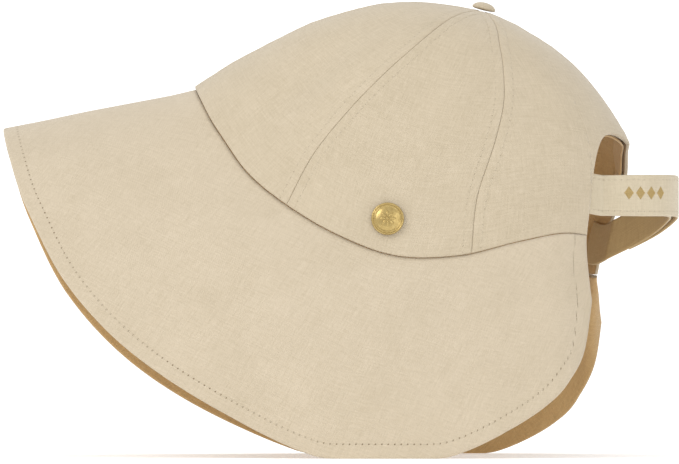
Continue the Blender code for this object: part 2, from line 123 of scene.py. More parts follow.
# Surface of the cloth: lumps as layers of (size, seed, height), then folds beside edges
CROWN_LUMPS = ((0.034, 3.1, 0.00045), (0.012, 7.7, 0.00012))
BRIM_LUMPS = ((0.055, 21.7, 0.0009), (0.018, 5.9, 0.00018))
SEAM_PUCKER = ((0.0042, 11.3, 0.00022),)
SEAM_PUCKER_PLACE = (0.003, 0.0032)
HEM_PUCKER = ((0.0048, 15.1, 0.00016),)
HEM_PUCKER_PLACE = (0.0045, 0.0035)
LUMP_FADE = 0.006
BRIM_LUMP_FADES = (0.03, 0.012)
SEAM_PLY = 0.00016
PLY_OVERHANG = 0.0003
PLY_FADE = 0.0008
SEAM_SINK = 0.00034
SEAM_ROUNDING = 0.00035
RIM_ROLL = 0.00050
RIM_ROUNDING = 0.0006
SEAM_GROOVE = 0.00010
HEM_GROOVE = 0.00014
HEM_GROOVE_SPREAD = 0.0005
STRAP_GROOVE = 0.0001
STRAP_GROOVE_SPREAD = 0.0004

# Spacing of the meshes: degrees beside a seam, and shares of the depth beside a rolled edge
SEAM_STEPS = np.array([0.0, 0.1, 0.25, 0.5])
FRONT_TURNS, SIDE_TURNS, BACK_TURNS, ARCH_TURNS = 72, 58, 42, 60
PANEL_ROWS, BRIM_TURNS, BRIM_ROWS_DOWN = 84, 393, 58
STRAP_STEPS, TUCK_STEPS, FACING_STEPS = 144, 20, 64
PANEL_ROLL = (0.982, 0.988, 0.993, 0.9965, 0.9985, 1.0)
BRIM_ROLL = (0.978, 0.985, 0.991, 0.9955, 0.9985, 1.0)
BRIM_END_STEPS = np.array([0.02, 0.06, 0.14, 0.28, 0.45])
CLOTH_STEP = 0.0012

# Rectangle that the brim is cut from, and where on its rim the grain runs straight down
GRAIN_CENTRE = 0.78

# Row of gold lozenges on the strap
LOZENGE_COUNT = 4
LOZENGE_START = 0.0355
LOZENGE_STEP = 0.0062
LOZENGE_WIDTH = 0.0050
LOZENGE_HEIGHT = 0.0062
LOZENGE_THREADS = 12
LOZENGE_RELIEF = 0.00016
LOZENGE_UP = 0.56
LOZENGE_FILL = 0.46
LOZENGE_LIFT = 0.00002

# Tones as seen, from 0 to 255: each finish in its dark and its light places
CROWN_TONES = ((174, 160, 134), (206, 192, 169))
BRIM_TONES = ((179, 165, 140), (208, 194, 172))
# Linen inside the bonnet, painted darker and browner as the shade and bounced light inside it
SHADED_INSIDE_TONES = ((163, 130, 84), (200, 168, 118))
STRAP_TONES = ((183, 170, 143), (212, 199, 175))
# Inside of the strap, painted darker and browner as the shade that falls on it
STRAP_SHADED_INSIDE_TONES = ((160, 134, 92), (192, 166, 120))
BRASS_TONES = ((150, 124, 72), (205, 182, 124))
# Shade painted into the needle holes
NEEDLE_HOLE_SHADE = (96, 74, 40)
CREAM_TONE = (200, 187, 163)
GOLD_TONE = (200, 172, 112)

# Finishes: distance between the linen's threads, and the needle holes of each row of stitches
# as (distance from the edge, size of a hole, strength of the shade painted into the holes)
THREAD_PITCH = 0.00055
SEAM_HOLES = (SEAM_DISTANCE, 0.00022, 0.30)
HEM_HOLES = (HEM_DISTANCE, 0.00032, 0.8)
STRAP_HOLES = (STRAP_DISTANCE, 0.00022, 0.35)

# Photographed view
SCALE_PLANE = 0.05
VIEW_WIDTH = 679 / 2200
VIEW_CENTRE = (0.0, -0.0006, 0.10240)
LENS = 1000.0
SENSOR = 36.0
LIT_PLACE = (0.0, 0.0, 0.1)

# Lower edge of the crown. "drop" is a share of SIDE_DEPTH
RIM_COLUMNS = ("turn", "drop")
RIM_ROWS = (
    (0, 0.0),
    (15, 0.085),
    (30, 0.31),
    (45, 0.59),
    (60, 0.79),
    (75, 0.935),
    (90, 0.99),
    (105, 0.865),
    (120, 0.625),
    (132, 0.475),
    (145, 0.44),
    (180, 0.44),
)

# Turns by which the front and back seams between panels swing off their straight meridians
SEAM_COLUMNS = ("along", "front", "back")
SEAM_ROWS = (
    (0.000, 12.0, 5.0),
    (0.125, 12.0, 5.0),
    (0.250, 10.5, 5.0),
    (0.375, 10.0, 3.0),
    (0.500, 7.5, 3.5),
    (0.625, 4.5, 3.5),
    (0.750, 1.5, 1.2),
    (0.875, -0.5, -1.2),
    (1.000, 0.0, 0.0),
)

# The soft right side lies lower and further back than the left, in metres at the brim's edge
SLACK_COLUMNS = ("turn", "back", "down")
SLACK_ROWS = (
    (0, 0.0, 0.0),
    (30, 0.0002, 0.0055),
    (45, 0.0008, 0.0085),
    (60, 0.0028, 0.0095),
    (75, 0.0042, 0.0078),
    (90, 0.0050, 0.0036),
    (105, 0.0058, 0.0020),
    (120, 0.0072, 0.0076),
    (140, 0.0044, 0.0100),
    (180, 0.0, 0.0),
)

# The same for the right side of the crown: at its rim, and the bulge of its back in between
SAG_COLUMNS = ("turn", "back", "down", "bulge")
SAG_ROWS = (
    (0, 0.0, 0.0, 0.0),
    (30, 0.0001, 0.0038, 0.0),
    (45, 0.0006, 0.0059, 0.0),
    (60, 0.0020, 0.0066, 0.0),
    (75, 0.0029, 0.0055, 0.0),
    (90, 0.0035, 0.0025, 0.0),
    (105, 0.0041, 0.0022, 0.0),
    (120, 0.0045, 0.0070, 0.0015),
    (132, 0.0020, 0.0115, 0.0050),
    (140, -0.0010, 0.0142, 0.0075),
    (152, -0.0060, 0.0160, 0.0080),
    (160, -0.0055, 0.0110, 0.0045),
    (170, -0.0030, 0.0040, 0.0010),
    (180, 0.0, 0.0, 0.0),
)
BULGE_ALONG = 0.76
BULGE_SPREAD = 0.13

# Meridians from the button to the rim. "fall" is a share of the height, the rest of the reach
MERIDIAN_COLUMNS = ("along", "fall", "front", "side", "back")
MERIDIAN_ROWS = (
    (0.000, 0.000, 0.000, 0.000, 0.000),
    (0.125, 0.014, 0.130, 0.190, 0.100),
    (0.250, 0.047, 0.250, 0.365, 0.225),
    (0.375, 0.115, 0.378, 0.525, 0.405),
    (0.500, 0.218, 0.492, 0.660, 0.570),
    (0.625, 0.360, 0.620, 0.775, 0.728),
    (0.750, 0.540, 0.740, 0.870, 0.875),
    (0.875, 0.760, 0.875, 0.945, 0.955),
    (1.000, 1.000, 1.000, 1.000, 1.000),
)

# Soft dents of the crown: turn, along, depth as a share of DENT_DEPTH, and the two half widths
DENT_ROWS = (
    (38, 0.74, 1.0, 9, 0.22),
    (79, 0.62, 0.9, 9, 0.20),
    (121, 0.60, 0.6, 8, 0.18),
    (-42, 0.72, 0.8, 9, 0.20),
    (-88, 0.66, 0.8, 10, 0.20),
    (-124, 0.60, 0.6, 8, 0.18),
)

# Outer edge of the brim, as shares of BRIM_WIDTH from the rim point at the same turn
BRIM_COLUMNS = ("turn", "forward", "down", "out")
BRIM_ROWS = (
    (0.0, 0.975, 0.212, 0.000),
    (15.0, 0.970, 0.283, 0.075),
    (30.0, 0.963, 0.394, 0.122),
    (45.0, 0.924, 0.540, 0.165),
    (60.0, 0.815, 0.717, 0.183),
    (75.0, 0.622, 0.871, 0.219),
    (90.0, 0.374, 1.018, 0.278),
    (105.0, 0.192, 1.043, 0.330),
    (120.0, 0.066, 0.950, 0.394),
    (126.0, -0.008, 0.853, 0.399),
    (132.0, -0.030, 0.740, 0.389),
    (136.5, -0.038, 0.590, 0.326),
    (140.5, -0.021, 0.323, 0.249),
)

# The strap's loop: shares of its half width, of its reach and of the right end's lower height
STRAP_COLUMNS = ("share", "width", "reach", "fall")
STRAP_ROWS = (
    (0.000, 1.00, 0.00, 0.00),
    (0.125, 0.86, 0.36, 0.00),
    (0.250, 0.63, 0.70, 0.00),
    (0.375, 0.34, 0.92, 0.00),
    (0.500, 0.00, 1.00, 0.03),
    (0.625, -0.34, 0.92, 0.16),
    (0.750, -0.63, 0.70, 0.41),
    (0.875, -0.86, 0.36, 0.72),
    (1.000, -1.00, 0.00, 1.00),
)


# ---------------------------------------------------------------- shapes from the tables


def column(columns, rows, name):
    """One named column of a table."""
    return np.array([row[columns.index(name)] for row in rows], float)


def smooth(places, values, at):
    """Cubic curve through the values, with each slope taken from the neighbours."""
    slopes = np.gradient(values, places)
    at = np.clip(at, places[0], places[-1])
    i = np.clip(np.searchsorted(places, at) - 1, 0, len(places) - 2)
    step = places[i + 1] - places[i]
    x = (at - places[i]) / step
    return (
        (2 * x**3 - 3 * x**2 + 1) * values[i]
        + (x**3 - 2 * x**2 + x) * step * slopes[i]
        + (3 * x**2 - 2 * x**3) * values[i + 1]
        + (x**3 - x**2) * step * slopes[i + 1]
    )


def curves(columns, rows, at):
    """Smooth curves through a table's columns after its first, read at places in that one."""
    places = column(columns, rows, columns[0])
    return [smooth(places, column(columns, rows, name), at) for name in columns[1:]]


def mirrored(columns, rows, name, turn, sign=1.0):
    """A column read by turn on both sides of the front centre: even, or odd with sign -1."""
    turns = column(columns, rows, "turn")
    values = column(columns, rows, name)
    turns = np.concatenate([-turns[:0:-1], turns])
    values = np.concatenate([sign * values[:0:-1], values])
    return smooth(turns, values, turn)


def ease(x):
    """Smooth step from 0 to 1."""
    x = np.clip(x, 0.0, 1.0)
    return x * x * (3 - 2 * x)


def mound(distance, middle, spread):
    """Soft mound of height 1 round a middle distance."""
    return np.exp(-(((distance - middle) / spread) ** 2))


def unit(vectors):
    """The same directions with length 1."""
    return vectors / np.linalg.norm(vectors, axis=-1, keepdims=True)


def tilted(side, back, up):
    """Points of the crown's own frame, upright and pitched back."""
    cosine, sine = math.cos(CROWN_PITCH), math.sin(CROWN_PITCH)
    return np.stack([side, back * cosine + up * sine, up * cosine - back * sine], axis=-1)


def brim_slack(turn):
    """How far the edge of the brim has slid back and down on the soft right side."""
    back, down = (slid * (turn < 0) for slid in curves(SLACK_COLUMNS, SLACK_ROWS, -turn))
    return np.stack([np.zeros_like(back), back, -down], axis=-1)


def crown_sag(turn, along):
    """How far the soft right side of the crown has slid back and down."""
    back, down, bulge = (slid * (turn < 0) for slid in curves(SAG_COLUMNS, SAG_ROWS, -turn))
    back = back * along**3 + bulge * mound(along, BULGE_ALONG, BULGE_SPREAD)
    return np.stack([np.zeros_like(back), back, -down * along**2], axis=-1)


def opening_turn(turn):
    """The turn of the opening's edge on the side of this turn."""
    return np.where(np.asarray(turn) < 0, RIGHT_OPENING_TURN, LEFT_OPENING_TURN)


def seam_swing(turn, along):
    """The turn of a place whose panel seams would stand on straight meridians at this turn."""
    front, back = curves(SEAM_COLUMNS, SEAM_ROWS, along)
    size, opening = np.abs(turn), opening_turn(turn)
    rising = size / FRONT_SEAM_TURN * front
    share = (size - FRONT_SEAM_TURN) / (BACK_SEAM_TURN - FRONT_SEAM_TURN)
    fading = back * (opening - size) / (opening - BACK_SEAM_TURN)
    swing = np.where(size < BACK_SEAM_TURN, front + (back - front) * share, fading)
    swing = np.where(size < FRONT_SEAM_TURN, rising, swing)
    return turn + np.sign(turn) * np.where(size > opening, 0.0, swing)


def dent(turn, along):
    """Depth of the soft dents at a place on the crown."""
    depth = 0.0
    for centre, middle, share, turn_spread, along_spread in DENT_ROWS:
        away = ((turn - centre) / turn_spread) ** 2 + ((along - middle) / along_spread) ** 2
        depth = depth + DENT_DEPTH * share * np.exp(-away)
    return depth


def crown_point(turn, along, sagged=1.0):
    """Points on the outside of the crown, from the button (0) to the rim (1)."""
    turn, along = np.broadcast_arrays(np.asarray(turn, float), np.asarray(along, float))
    turn = (turn + 180.0) % 360.0 - 180.0
    angle = np.radians(turn)
    rim_back = CROWN_LENGTH / 2 * (1 - np.cos(angle))
    rim_up = -SIDE_DEPTH * mirrored(RIM_COLUMNS, RIM_ROWS, "drop", turn)
    fall, front, side, back = curves(MERIDIAN_COLUMNS, MERIDIAN_ROWS, along)
    rearward = ease((1 - np.cos(angle)) / 2)
    reach = front * (1 - rearward) + back * rearward
    pressed = 1 - dent(turn, along) / CROWN_HALF_WIDTH
    point = tilted(
        CROWN_HALF_WIDTH * np.sin(angle) * side * pressed,
        BUTTON_BACK + (rim_back - BUTTON_BACK) * reach * pressed,
        CROWN_HEIGHT + (rim_up - CROWN_HEIGHT) * fall,
    )
    return point + crown_sag(turn, along) * sagged + STANDING


def crown_frame(turn, along, step=0.01):
    """(points, outward normals, directions of growing turn) on the outside of the crown."""
    along = np.asarray(along, float)
    across = crown_point(turn + 100 * step, along) - crown_point(turn - 100 * step, along)
    low, high = np.maximum(along - step, 0.0), np.minimum(along + step, 1.0)
    down = crown_point(turn, high) - crown_point(turn, low)
    return crown_point(turn, along), unit(np.cross(down, across)), unit(across)


def arch_along(turn):
    """Where the back opening cuts the meridian of this turn, higher towards its left."""
    middle = 180.0 + (LEFT_OPENING_TURN - RIGHT_OPENING_TURN) / 2
    half = 180.0 - (LEFT_OPENING_TURN + RIGHT_OPENING_TURN) / 2
    across = np.clip((np.asarray(turn) % 360.0 - middle) / half, -1.0, 1.0)
    lift = (1 - np.abs(across) ** ARCH_SQUARENESS) ** (1 / ARCH_SQUARENESS)
    return 1 - (ARCH_LIFT - ARCH_TILT * across) * lift


def arch_turns(sign, steps):
    """Turns from the opening's edge to the back centre, evenly spaced along the arch."""
    start = float(opening_turn(sign))
    quarter = np.linspace(0, 1, 4001) ** 3
    turns = sign * (start + (180.0 - start) * quarter)
    length = run_lengths(crown_point(turns, arch_along(turns)))
    return np.interp(np.linspace(0, length[-1], steps + 1), length, turns)


def brim_edge(turn):
    """The outer edge of the brim, flat where it meets the floor."""
    size, start = np.abs(turn), BACK_SEAM_TURN
    squeeze = (LEFT_OPENING_TURN - start) / (opening_turn(turn) - start)
    turn = np.sign(turn) * np.where(size > start, start + (size - start) * squeeze, size)
    forward = mirrored(BRIM_COLUMNS, BRIM_ROWS, "forward", turn)
    down = mirrored(BRIM_COLUMNS, BRIM_ROWS, "down", turn)
    out = mirrored(BRIM_COLUMNS, BRIM_ROWS, "out", turn, -1.0)
    edge = crown_point(turn, 1.0, 0.0) + BRIM_WIDTH * np.stack([out, -forward, -down], axis=-1)
    edge = edge + brim_slack(turn)
    height, soft = edge[..., 2], FLOOR_PRESS
    eased = (np.clip(height, -soft, soft) + soft) ** 2 / (4 * soft)
    edge[..., 2] = np.where(height > soft, height, eased)
    return edge


def brim_point(turn, share):
    """Points on the outside of the brim, from the rim (0) to the edge (1)."""
    start, normal, _ = crown_frame(turn, 1.0)
    inset = BRIM_STEP * ease((opening_turn(turn) - np.abs(turn)) / BRIM_STEP_FADE)
    start = start - normal * inset[..., None]
    run = brim_edge(turn) - start
    share = share + (1 - share) * BRIM_GAP / np.linalg.norm(run, axis=-1)
    angle = np.radians(turn)
    level = np.zeros_like(angle)
    outward = np.stack([np.sin(angle), level - BRIM_BULGE_FORWARD, level], axis=-1)
    bulge = BRIM_BULGE * np.sin(np.minimum(np.abs(angle), math.pi / 2)) * 4 * share * (1 - share)
    return start + run * share[..., None] + outward * bulge[..., None]


def tucked_sections(sign, along, shares, steps):
    """Middle sections of the strap inside the crown, from its end to where it leaves."""
    depth, probe = CROWN_WALL + STRAP_GAP + STRAP_WALL / 2, 0.02
    sections = []
    for turn in np.linspace(-STRAP_TUCK_TURN, STRAP_LEAVE_TURN, steps + 1) + opening_turn(sign):
        turn = sign * turn
        depth_step = crown_point(turn, along + probe) - crown_point(turn, along - probe)
        spread = STRAP_WIDTH / np.linalg.norm(depth_step) * 2 * probe
        point, normal, _ = crown_frame(turn, along - shares * spread)
        sections.append(point - normal * depth)
    return np.array(sections)


def loop_sections(start, end, outward, shares, steps):
    """Sections of the free loop between two tucked ones, moved outwards."""
    upright = shares[:, None] * STRAP_WIDTH * np.array([0, 0, 1.0])
    left, right = start.mean(axis=0), end.mean(axis=0)
    sections = []
    for share in np.linspace(0, 1, steps + 1):
        width, reach, fall = curves(STRAP_COLUMNS, STRAP_ROWS, share)
        near = start if share <= 0.5 else end
        side = (abs(near[:, 0].mean()) + outward) * width
        back = left[1] + (right[1] - left[1]) * ease(share) + (STRAP_REACH + outward) * reach
        up = left[2] + (right[2] - left[2]) * fall
        lean = near - near.mean(axis=0)
        free = ease(min(share, 1 - share) * 4)
        sections.append(np.array([side, back, up]) + lean + (upright - lean) * free)
    return np.array(sections)


# ---------------------------------------------------------------- cloth


def grid_normals(grid):
    """Unit normals of a grid of points, by the differences of its neighbours."""
    return unit(np.cross(np.gradient(grid, axis=0), np.gradient(grid, axis=1)))


def run_lengths(line):
    """Distance along a line of points, from its first one."""
    steps = np.linalg.norm(np.diff(line, axis=0), axis=1)
    return np.concatenate([[0.0], np.cumsum(steps)])


def distance_to(grid, line):
    """Distance from each grid point to a line of points."""
    start, step = line[:-1], np.diff(line, axis=0)
    squared = (step**2).sum(axis=1)
    result = []
    for row in grid:
        share = np.clip(((row[:, None] - start) * step).sum(axis=-1) / squared, 0.0, 1.0)
        away = row[:, None] - (start + step * share[..., None])
        result.append(np.linalg.norm(away, axis=-1).min(axis=1))
    return np.array(result)


def rounded(distance, radius):
    """Share of the full thickness at a distance from a rounded edge."""
    return np.sqrt(np.clip(1 - (1 - np.minimum(distance / radius, 1.0)) ** 2, 0.0, 1.0))


def rumple(grid, layers):
    """Soft unevenness of cloth, as layers of lumps with their size, seed and height."""
    height = 0.0
    for size, seed, most in layers:
        flat = grid.reshape(-1, 3) / size + seed
        values = [noise.noise(Vector(point)) for point in flat]
        height = height + np.array(values).reshape(grid.shape[:-1]) * most
    return height


def faced_outwards(mesh, merged=0.0):
    """Turns all faces outwards, after points within a distance are merged."""
    shape = bmesh.new()
    shape.from_mesh(mesh)
    if merged:
        bmesh.ops.remove_doubles(shape, verts=shape.verts, dist=merged)
    bmesh.ops.recalc_face_normals(shape, faces=shape.faces)
    shape.to_mesh(mesh)
    shape.free()


def new_object(name, mesh):
    """A new object with this mesh, smoothly shaded."""
    mesh.shade_smooth()
    obj = bpy.data.objects.new(name, mesh)
    bpy.context.scene.collection.objects.link(obj)
    return obj


def dressed(obj, node=None):
    """Fixes a piece to the bonnet, in the place of a node if one is named."""
    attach(obj, "root")
    if node:
        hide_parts(node)


def cloth_mesh(name, outer, inner, maps, looks):
    """A closed piece of cloth between two grids, whose shared border points are merged."""
    rows, columns = outer.shape[:2]
    count = rows * columns
    index = np.arange(count).reshape(rows, columns)
    quads = np.stack([index[:-1, :-1], index[:-1, 1:], index[1:, 1:], index[1:, :-1]], axis=-1)
    quads = quads.reshape(-1, 4)
    ring = np.concatenate([index[0, :], index[1:, -1], index[-1, -2::-1], index[-2:0:-1, 0]])
    after = np.roll(ring, -1)
    border = np.stack([after, ring, ring + count, after + count], axis=-1)
    faces = np.concatenate([quads, quads[:, ::-1] + count, border])
    mesh = bpy.data.meshes.new(name)
    points = np.concatenate([outer.reshape(-1, 3), inner.reshape(-1, 3)])
    mesh.from_pydata(points.tolist(), [], faces.tolist())
    corners = np.empty(len(mesh.loops), int)
    mesh.loops.foreach_get("vertex_index", corners)
    for label, values in maps.items():
        layer = mesh.uv_layers.new(name=label)
        flat = np.concatenate([values.reshape(-1, 2)] * 2)[corners]
        layer.uv.foreach_set("vector", flat.astype(np.float32).ravel())
    # The inner skin takes the second finish, which is a copy of the linen painted in shade
    sides = np.zeros(len(faces), int)
    sides[len(quads) : 2 * len(quads)] = 1
    mesh.polygons.foreach_set("material_index", sides)
    for look in looks:
        mesh.materials.append(look)
    faced_outwards(mesh, merged=1e-6)
    return new_object(name, mesh)


def iso_line(grid, normals, field, value, along_rows):
    """Points and normals where the field first reaches a value, one for each row or column."""
    if not along_rows:
        grid, normals, field = (a.swapaxes(0, 1) for a in (grid, normals, field))
    points, directions = [], []
    for line, normal, depth in zip(grid, normals, field):
        passed = np.nonzero(depth >= value)[0]
        if not len(passed) or passed[0] == 0:
            continue
        i = passed[0]
        share = (value - depth[i - 1]) / (depth[i] - depth[i - 1])
        points.append(line[i - 1] + (line[i] - line[i - 1]) * share)
        directions.append(normal[i])
    return np.array(points), np.array(directions)


def stitch_template():
    """One short stitch, 1 long and 1 wide, as points and faces."""
    bpy.ops.mesh.primitive_uv_sphere_add(segments=6, ring_count=4, radius=0.5)
    obj = bpy.context.object
    mesh = obj.data
    mesh.transform(Matrix.Rotation(math.pi / 2, 4, "Y"))
    points = np.array([v.co for v in mesh.vertices])
    faces = [list(f.vertices) for f in mesh.polygons]
    bpy.data.objects.remove(obj)
    bpy.data.meshes.remove(mesh)
    return points, faces


def read_line(values, length, place):
    """A row of vectors, read at a distance along its line."""
    return np.array([np.interp(place, length, values[:, k]) for k in range(3)])


def stitches(name, lines, look, template):
    """Rows of stitches along lines of (points, normals), all in one piece."""
    shape, shape_faces = template
    size = np.array([[STITCH_LENGTH], [STITCH_WIDTH], [STITCH_WIDTH * STITCH_FLATNESS]])
    half_pitch, half = STITCH_PITCH / 2, STITCH_LENGTH / 2
    points, faces = [], []
    for line, normals in lines:
        length = run_lengths(line)
        for place in np.arange(half_pitch, length[-1] - half_pitch, STITCH_PITCH):
            back, ahead = (read_line(line, length, place + side) for side in (-half, half))
            run = unit(ahead - back)
            up = read_line(normals, length, place)
            up = unit(up - run * np.dot(up, run))
            body = shape @ (np.stack([run, np.cross(up, run), up]) * size)
            first = len(points)
            points.extend(((back + ahead) / 2 - up * STITCH_SUNK + body).tolist())
            faces.extend([[first + i for i in face] for face in shape_faces])
    mesh = bpy.data.meshes.new(name)
    mesh.from_pydata(points, [], faces)
    mesh.materials.append(look)
    faced_outwards(mesh)
    dressed(new_object(name, mesh))


def edge_spacing(length, step, fine):
    """Places along a length, evenly spaced but close together at both ends."""
    fine = np.array(fine)
    inside = np.linspace(fine[-1], length - fine[-1], max(2, int(length / step)))[1:-1]
    return np.concatenate([fine, inside, (length - fine)[::-1]])


# ---------------------------------------------------------------- pieces


def panel_turns(start, end, count):
    """Turns across a panel, closer together beside its two seams."""
    inside = np.linspace(start + 1.0, end - 1.0, count)
    return np.concatenate([start + SEAM_STEPS, inside, end - SEAM_STEPS[::-1]])


def crown_panel(name, turns, sign, looks):
    """One panel of the crown: seams sunk along its sides, rolled edge at the rim and arch."""
    turns = sign * turns
    rows = np.concatenate([np.linspace(0, 0.975, PANEL_ROWS), PANEL_ROLL])
    turn, share = np.meshgrid(turns, rows)
    along = APEX_SHARE + (arch_along(turn) - APEX_SHARE) * share
    swung = seam_swing(turn, along)
    point, normal, across = crown_frame(swung, along)
    inwards = np.zeros(len(turns))
    inwards[0], inwards[-1] = sign, -sign
    point = point + across * inwards[None, :, None] * PANEL_GAP / 2
    first_seam = distance_to(point, point[:, 0])
    second_seam = distance_to(point, point[:, -1])
    seam = np.minimum(first_seam, second_seam)
    hem = distance_to(point, point[-1])

    # The grain runs down the middle of the panel
    centre, middle = (turns[0] + turns[-1]) / 2, along[:, 0]
    ahead, behind = crown_point(centre + 1, middle), crown_point(centre - 1, middle)
    per_degree = np.linalg.norm(ahead - behind, axis=-1) / 2
    depth = run_lengths(crown_point(centre, middle))
    across_grain = (swung - centre) * np.interp(along, middle, per_degree)
    down_grain = np.interp(along, middle, depth)
    grain = np.stack([across_grain, down_grain], axis=-1)
    run = np.stack([down_grain, seam], axis=-1)

    # Lumps, the doubled cloth beside the seam with its puckers, the seam and the needle's row
    lift = rumple(point, CROWN_LUMPS) * ease(seam / LUMP_FADE) * ease(hem / LUMP_FADE)
    ply = ease(seam / PLY_FADE) * ease((SEAM_DISTANCE + PLY_OVERHANG - seam) / PLY_FADE)
    pucker = rumple(point, SEAM_PUCKER) * mound(seam, *SEAM_PUCKER_PLACE)
    sink = SEAM_SINK * (1 - rounded(seam, SEAM_ROUNDING))
    roll = RIM_ROLL * (1 - rounded(hem, RIM_ROUNDING))
    groove = SEAM_GROOVE * mound(seam, SEAM_DISTANCE, SEAM_ROUNDING)
    outer = point + normal * (lift + SEAM_PLY * ply + pucker - sink - roll - groove)[..., None]
    inner = point - normal * (CROWN_WALL - lift * 0.5)[..., None]
    obj = cloth_mesh(name, outer, inner, {"Grain": grain, "Run": run}, looks)
    dressed(obj, name)

    normals = grid_normals(outer)
    lines = []
    for field, flip in ((first_seam, 1), (second_seam, -1)):
        wide = field.max(axis=1) > 2 * SEAM_DISTANCE
        wide &= hem[:, 0 if flip == 1 else -1] > 0.001
        data = (values[wide][:, ::flip] for values in (outer, normals, field))
        lines.append(iso_line(*data, SEAM_DISTANCE, True))
    return (outer, normals, hem), lines


def arch_rows(skin, first_column):
    """Two rows of stitches beside the arch, on one back panel."""
    data = [values[::-1, first_column:] for values in skin]
    return [iso_line(*data, distance, False) for distance in ARCH_DISTANCES]


def make_brim(looks):
    """The brim, with its turned edge and the flat places that it stands on."""
    turns = np.linspace(-RIGHT_OPENING_TURN, LEFT_OPENING_TURN, BRIM_TURNS)
    ends = (LEFT_OPENING_TURN - BRIM_END_STEPS, BRIM_END_STEPS - RIGHT_OPENING_TURN)
    turns = np.unique(np.concatenate([turns, *ends]))
    shares = np.concatenate([np.linspace(0, 0.97, BRIM_ROWS_DOWN), BRIM_ROLL])
    turn, share = np.meshgrid(turns, shares)
    outer = brim_point(turn, share)
    normal = grid_normals(outer)
    rim, edge = distance_to(outer, outer[0]), distance_to(outer, outer[-1])
    ends = [distance_to(outer, outer[:, k]) for k in (0, -1)]
    hem = np.min([edge, *ends], axis=0)

    # Lumps, the turned hem with its puckers, and the needle's row
    half = BRIM_WALL / 2
    middle = outer - normal * half
    wave = rumple(middle, BRIM_LUMPS)
    wave *= ease(hem / BRIM_LUMP_FADES[0]) * ease(rim / BRIM_LUMP_FADES[1])
    pucker = rumple(middle, HEM_PUCKER) * mound(hem, *HEM_PUCKER_PLACE)
    groove = HEM_GROOVE * mound(hem, HEM_DISTANCE, HEM_GROOVE_SPREAD)
    thick = half * rounded(hem, half)
    top = middle + normal * (thick + wave + pucker - groove)[..., None]
    low = middle - normal * (thick - wave)[..., None]
    for skin in (top, low):
        skin[..., 2] = np.maximum(skin[..., 2], 0.0)

    # The grain is straight, as on a flat ring sector of the same two edges
    inner_run, outer_run = run_lengths(outer[0]), run_lengths(outer[-1])
    width = run_lengths(outer[:, len(turns) // 2])
    total = float(inner_run[-1])
    radius = float(width[-1]) * total / (float(outer_run[-1]) - total)
    depth = radius + np.interp(share, shares, width)
    around = (np.interp(turn, turns, inner_run) - total * GRAIN_CENTRE) / radius
    grain = np.stack([depth * np.sin(around), depth * np.cos(around)], axis=-1)
    run = np.stack([np.interp(turn, turns, outer_run), hem], axis=-1)
    obj = cloth_mesh("brim_cloth", top, low, {"Grain": grain, "Run": run}, looks)
    dressed(obj, "brim")

    normals = grid_normals(top)
    lines = [iso_line(top[::-1], normals[::-1], edge[::-1], HEM_DISTANCE, False)]
    for flip, end in zip((1, -1), ends):
        data = (values[:, ::flip] for values in (top, normals, end))
        lines.append(iso_line(*data, HEM_DISTANCE, True))
    return lines


def band(name, node, middle, wall, looks, slot, relief=0.0):
    """A flat band of cloth through its middle sections, with all its edges rolled."""
    normal = grid_normals(middle)
    borders = (middle[0], middle[-1], middle[:, 0], middle[:, -1])
    edge = np.min([distance_to(middle, line) for line in borders], axis=0)
    thick = wall / 2 * rounded(edge, wall / 2)
    thick -= relief * mound(edge, STRAP_DISTANCE, STRAP_GROOVE_SPREAD)
    top = middle + normal * thick[..., None]
    low = middle - normal * thick[..., None]
    run = run_lengths(middle[:, middle.shape[1] // 2])
    across = run_lengths(middle[len(middle) // 2])
    grain = np.stack(np.meshgrid(run, across, indexing="ij"), axis=-1)
    marks = np.stack([grain[..., 0], edge], axis=-1)
    obj = cloth_mesh(name, top, low, {"Grain": grain, "Run": marks}, looks)
    dressed(obj, node)
    return top, edge


def moved_inwards(turn, run, distance):
    """The (turn, along) of a place inside the arch's edge, square to the edge's run."""
    along = arch_along(turn)
    here = crown_point(turn, along)
    by_turn = crown_point(turn + 0.5, along) - crown_point(turn - 0.5, along)
    by_along = (here - crown_point(turn, along - 0.01)) / 0.01
    inwards = np.cross(run, np.cross(by_turn, by_along))
    inwards *= distance / np.linalg.norm(inwards)
    inwards *= np.sign(np.dot(inwards, here - crown_point(180.0, 0.95)))
    shift = np.linalg.lstsq(np.stack([by_turn, by_along], axis=1), inwards, rcond=None)[0]
    return turn + shift[0], along + shift[1]


def make_facing(looks):
    """Tape that follows the arch inside the crown, above the strap's two ends."""
    strap_top = STRAP_WIDTH / 2 / (SIDE_DEPTH + CROWN_HEIGHT)
    left, right = (arch_turns(sign, FACING_STEPS) for sign in (1, -1))
    left = left[arch_along(left) < STRAP_LEFT_ALONG - strap_top - 0.01]
    right = right[arch_along(right) < STRAP_RIGHT_ALONG - strap_top - 0.01]
    turns = np.concatenate([left, right[-2::-1]])
    edge = crown_point(turns, arch_along(turns))
    depth = CROWN_WALL + FACING_GAP + FACING_WALL / 2
    sections = []
    for turn, run in zip(turns, np.gradient(edge, axis=0)):
        line = []
        for place in edge_spacing(FACING_WIDTH, CLOTH_STEP, (0.0, 0.0001, 0.00025, 0.0005)):
            point, normal, _ = crown_frame(*moved_inwards(turn, run, max(place, 1e-6)))
            line.append(point - normal * depth)
        sections.append(line)
    middle = np.array(sections)
    band("facing_tape", "arch_facing", middle, FACING_WALL, looks, "linen_inside")


